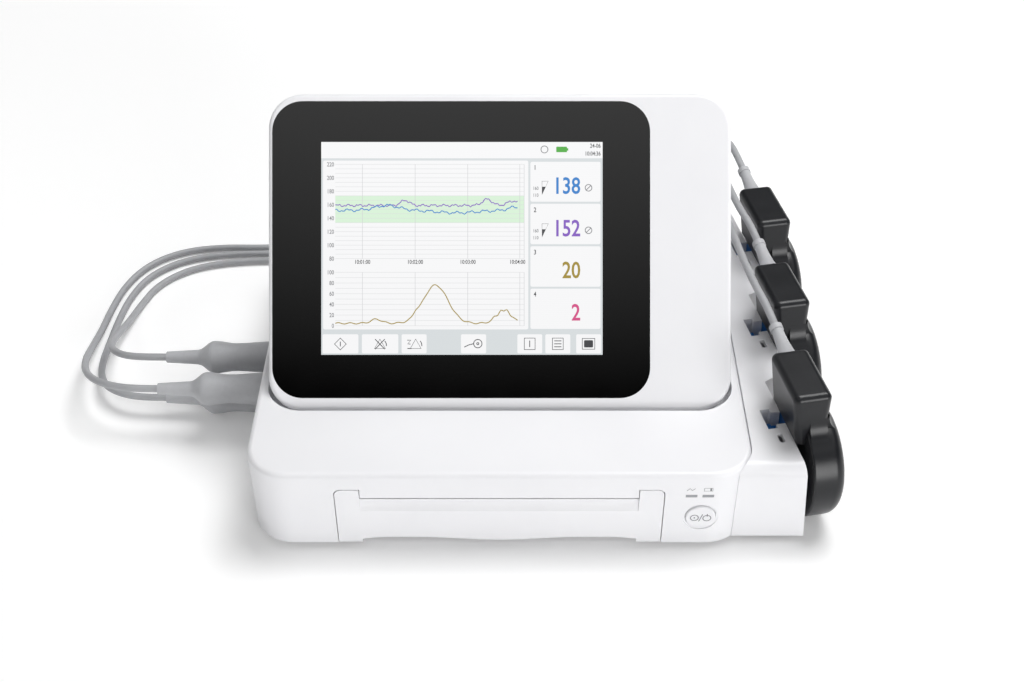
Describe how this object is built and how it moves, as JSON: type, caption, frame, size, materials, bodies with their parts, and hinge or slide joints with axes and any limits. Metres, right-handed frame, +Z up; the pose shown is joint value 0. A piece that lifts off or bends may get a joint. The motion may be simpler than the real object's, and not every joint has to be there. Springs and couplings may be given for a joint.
{
  "type": "fetal monitor",
  "caption": "Desktop fetal monitor with a tilting touch display, chart paper drawer, power button, side holder with lift-out belt transducers, and plugged-in coiled cables.",
  "frame": {"origin": "middle of the footprint of the monitor without its free cables, at table level", "axes": "+X to the right seen from the front, +Y to the rear, +Z up"},
  "size_m": [0.4632, 0.3916, 0.1912],
  "materials": {
    "white_plastic": "satin white moulded plastic",
    "black_glass": "gloss black printed glass",
    "screen": "display panel",
    "black_plastic": "satin black moulded plastic",
    "blue_plastic": "satin blue moulded plastic",
    "cable_grey": "matt grey cable sheath",
    "plug_grey": "matt grey moulded plastic",
    "foot_rubber": "matt black rubber",
    "roller_rubber": "matt black rubber",
    "steel": "brushed steel",
    "gear_plastic": "natural moulded plastic",
    "motor_metal": "zinc-plated steel",
    "aluminium": "bare aluminium",
    "board_green": "green circuit board",
    "cell_wrap": "shrink-wrapped cells",
    "light_pipe": "smoky clear plastic"
  },
  "bodies": {
    "base": {"base_top_cover": "white_plastic", "base_bottom_cover": "white_plastic", "rubber_feet": "foot_rubber", "case_screws": "steel", "status_light_pipes": "light_pipe", "front_key_board": "board_green", "print_head": "aluminium", "drive_motor": "motor_metal", "main_board": "board_green", "power_supply": "board_green", "battery_pack": "cell_wrap", "speaker": "motor_metal", "mains_inlet": "black_plastic", "plug_sockets": "plug_grey", "hinge_brackets": "steel", "transducer_holder": "white_plastic", "front_transducer_lead": "cable_grey", "front_cable_coil": "cable_grey", "front_plug_lead": "cable_grey", "front_cable_plug": "plug_grey", "middle_transducer_lead": "cable_grey", "middle_cable_coil": "cable_grey", "middle_plug_lead": "cable_grey", "middle_cable_plug": "plug_grey", "rear_transducer_lead": "cable_grey", "rear_cable_coil": "cable_grey", "rear_plug_lead": "cable_grey", "rear_cable_plug": "plug_grey"},
    "display": {"display_front_bezel": "white_plastic", "display_rear_cover": "white_plastic", "touch_glass": "black_glass", "lcd_module": "screen", "hinge_shafts": "steel", "display_screws": "steel"},
    "drawer": {"paper_drawer": "white_plastic", "platen_bushes": "gear_plastic"},
    "platen": {"platen_roller": "roller_rubber", "platen_shaft": "steel", "platen_gear": "gear_plastic"},
    "idler": {"idler_gear": "gear_plastic"},
    "pinion": {"motor_pinion": "steel"},
    "power_button": {"power_button": "white_plastic"},
    "front_transducer": {"front_transducer_outer_shell": "black_plastic", "front_transducer_inner_shell": "black_plastic", "front_transducer_belt_stud": "blue_plastic", "front_transducer_sensor_elements": "steel", "front_transducer_strain_relief": "cable_grey"},
    "middle_transducer": {"middle_transducer_outer_shell": "black_plastic", "middle_transducer_inner_shell": "black_plastic", "middle_transducer_belt_stud": "blue_plastic", "middle_transducer_sensor_elements": "steel", "middle_transducer_strain_relief": "cable_grey"},
    "rear_transducer": {"rear_transducer_outer_shell": "black_plastic", "rear_transducer_inner_shell": "black_plastic", "rear_transducer_belt_stud": "blue_plastic", "rear_transducer_sensor_elements": "steel", "rear_transducer_strain_relief": "cable_grey"}
  },
  "joints": [
    {"name": "display_tilt", "type": "hinge", "parent": "base", "child": "display", "pos_m": [-0.02726, -0.05287, 0.05219], "axis": [1, 0, 0], "range_deg": [-50, 25]},
    {"name": "drawer_slide", "type": "slide", "parent": "base", "child": "drawer", "axis": [0, -1, 0], "range_m": [0, 0.1]},
    {"name": "power_button_press", "type": "slide", "parent": "base", "child": "power_button", "axis": [0, 1, 0], "range_m": [0, 0.001], "stiffness_N_per_m": 1500, "springref_m": -0.0005},
    {"name": "platen_spin", "type": "hinge", "parent": "drawer", "child": "platen", "pos_m": [-0.02726, -0.11481, 0.0285], "axis": [1, 0, 0], "continuous": true},
    {"name": "idler_spin", "type": "hinge", "parent": "base", "child": "idler", "pos_m": [-0.02726, -0.10121, 0.0285], "axis": [1, 0, 0], "continuous": true},
    {"name": "pinion_spin", "type": "hinge", "parent": "base", "child": "pinion", "pos_m": [-0.02726, -0.09001, 0.0285], "axis": [1, 0, 0], "continuous": true},
    {"name": "front_transducer_lift", "type": "slide", "parent": "base", "child": "front_transducer", "axis": [0, 0, 1], "range_m": [0, 0.032], "deforming": ["front_transducer_lead"]},
    {"name": "middle_transducer_lift", "type": "slide", "parent": "base", "child": "middle_transducer", "axis": [0, 0, 1], "range_m": [0, 0.032], "deforming": ["middle_transducer_lead"]},
    {"name": "rear_transducer_lift", "type": "slide", "parent": "base", "child": "rear_transducer", "axis": [0, 0, 1], "range_m": [0, 0.032], "deforming": ["rear_transducer_lead"]}
  ],
  "couplings": [
    {"joint": "idler_spin", "follows": "platen_spin", "ratio": -1.125},
    {"joint": "pinion_spin", "follows": "platen_spin", "ratio": 1.5}
  ]
}
